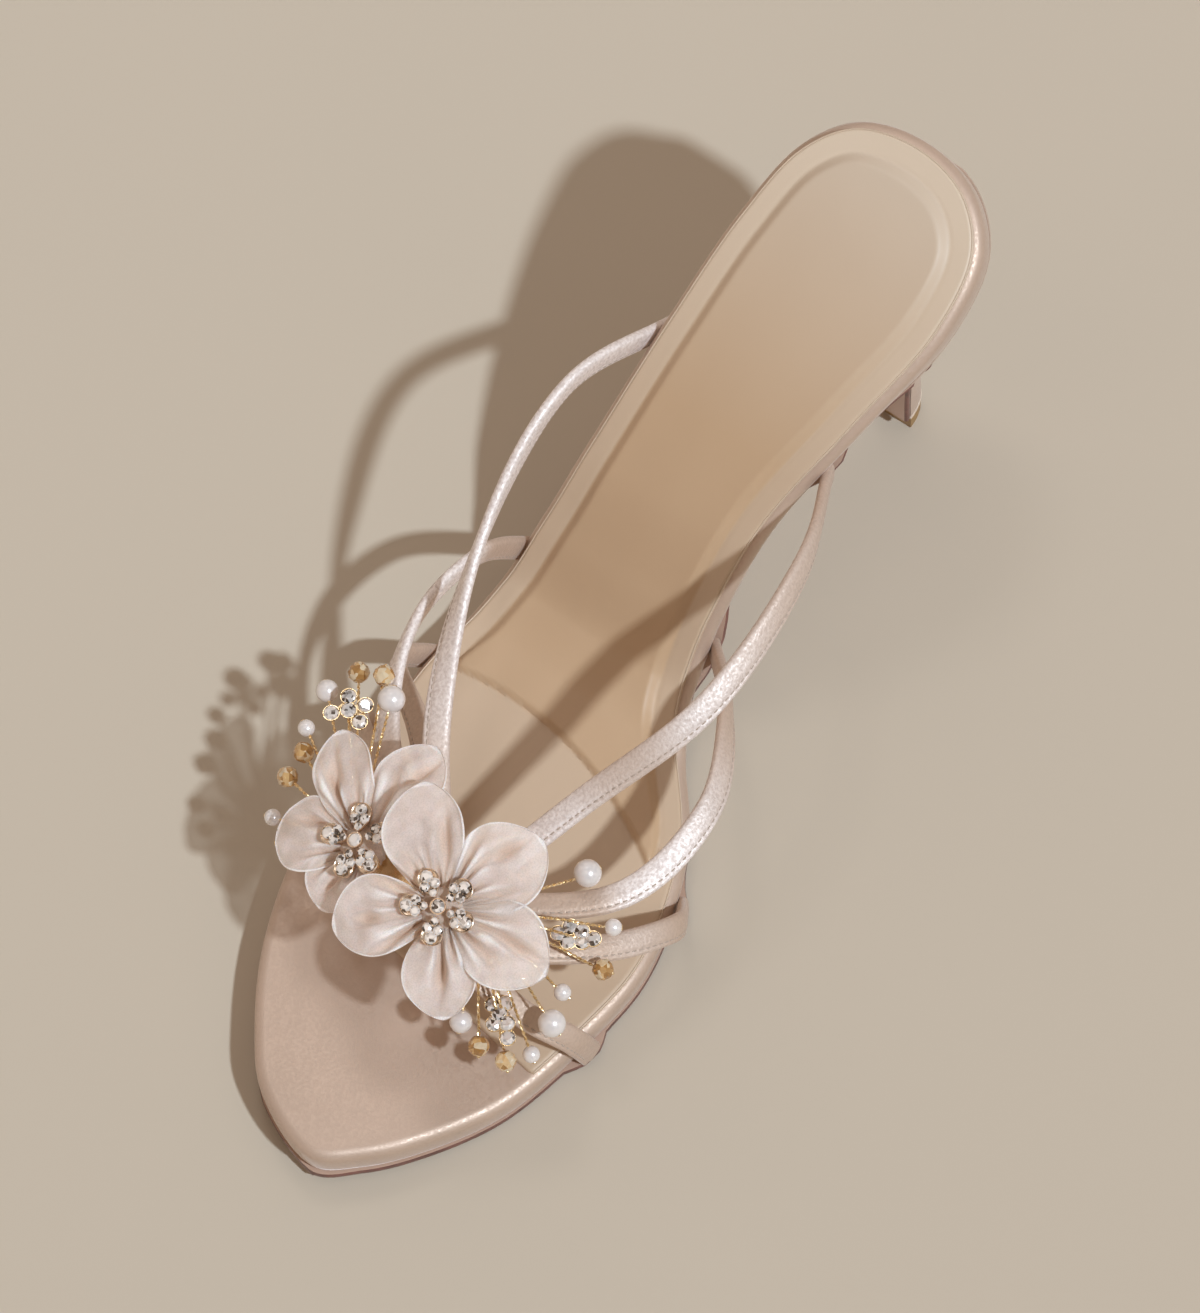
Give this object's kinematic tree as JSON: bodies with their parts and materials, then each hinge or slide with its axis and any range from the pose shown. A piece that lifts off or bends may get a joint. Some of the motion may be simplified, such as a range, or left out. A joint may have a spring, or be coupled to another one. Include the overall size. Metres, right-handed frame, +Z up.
{
  "type": "high heeled strappy sandal",
  "caption": "Open satin sandal on a slim high heel, with narrow straps that meet over the toes under organza flowers, pearls and crystals.",
  "frame": {"origin": "on the floor under the middle of the forefoot's flat tread, on the line through the back of the seat", "axes": "+X towards the toe, +Y towards the inner side of the foot, +Z up"},
  "size_m": [0.2265, 0.085, 0.0887],
  "materials": {
    "satin": "shiny satin weave",
    "lining": "smooth, slightly glossy",
    "sole": "smooth with a painted edge",
    "lift": "matte",
    "organza": "sheer with a soft shimmer",
    "pearl": "pearly",
    "crystal": "faceted and polished",
    "gold": "polished"
  },
  "bodies": {
    "root": {"outsole": "sole", "footbed": "satin", "insole_sock": "lining", "heel": "satin", "toplift": "lift", "upper_straps": "satin", "spray_wires": "gold", "flower_large": "organza", "flower_large_floret": "gold", "flower_small": "organza", "flower_small_floret": "gold", "rear_pearl_1": "pearl", "rear_pearl_2": "pearl", "rear_pearl_3": "pearl", "rear_pearl_4": "pearl", "rear_pearl_5": "pearl", "rear_bead_1": "crystal", "rear_bead_2": "crystal", "rear_bead_3": "crystal", "rear_bead_4": "crystal", "inner_pearl_1": "pearl", "inner_pearl_2": "pearl", "inner_bead_1": "crystal", "front_pearl_1": "pearl", "front_pearl_2": "pearl", "front_pearl_3": "pearl", "front_pearl_4": "pearl", "front_bead_1": "crystal", "front_bead_2": "crystal"}
  },
  "joints": []
}
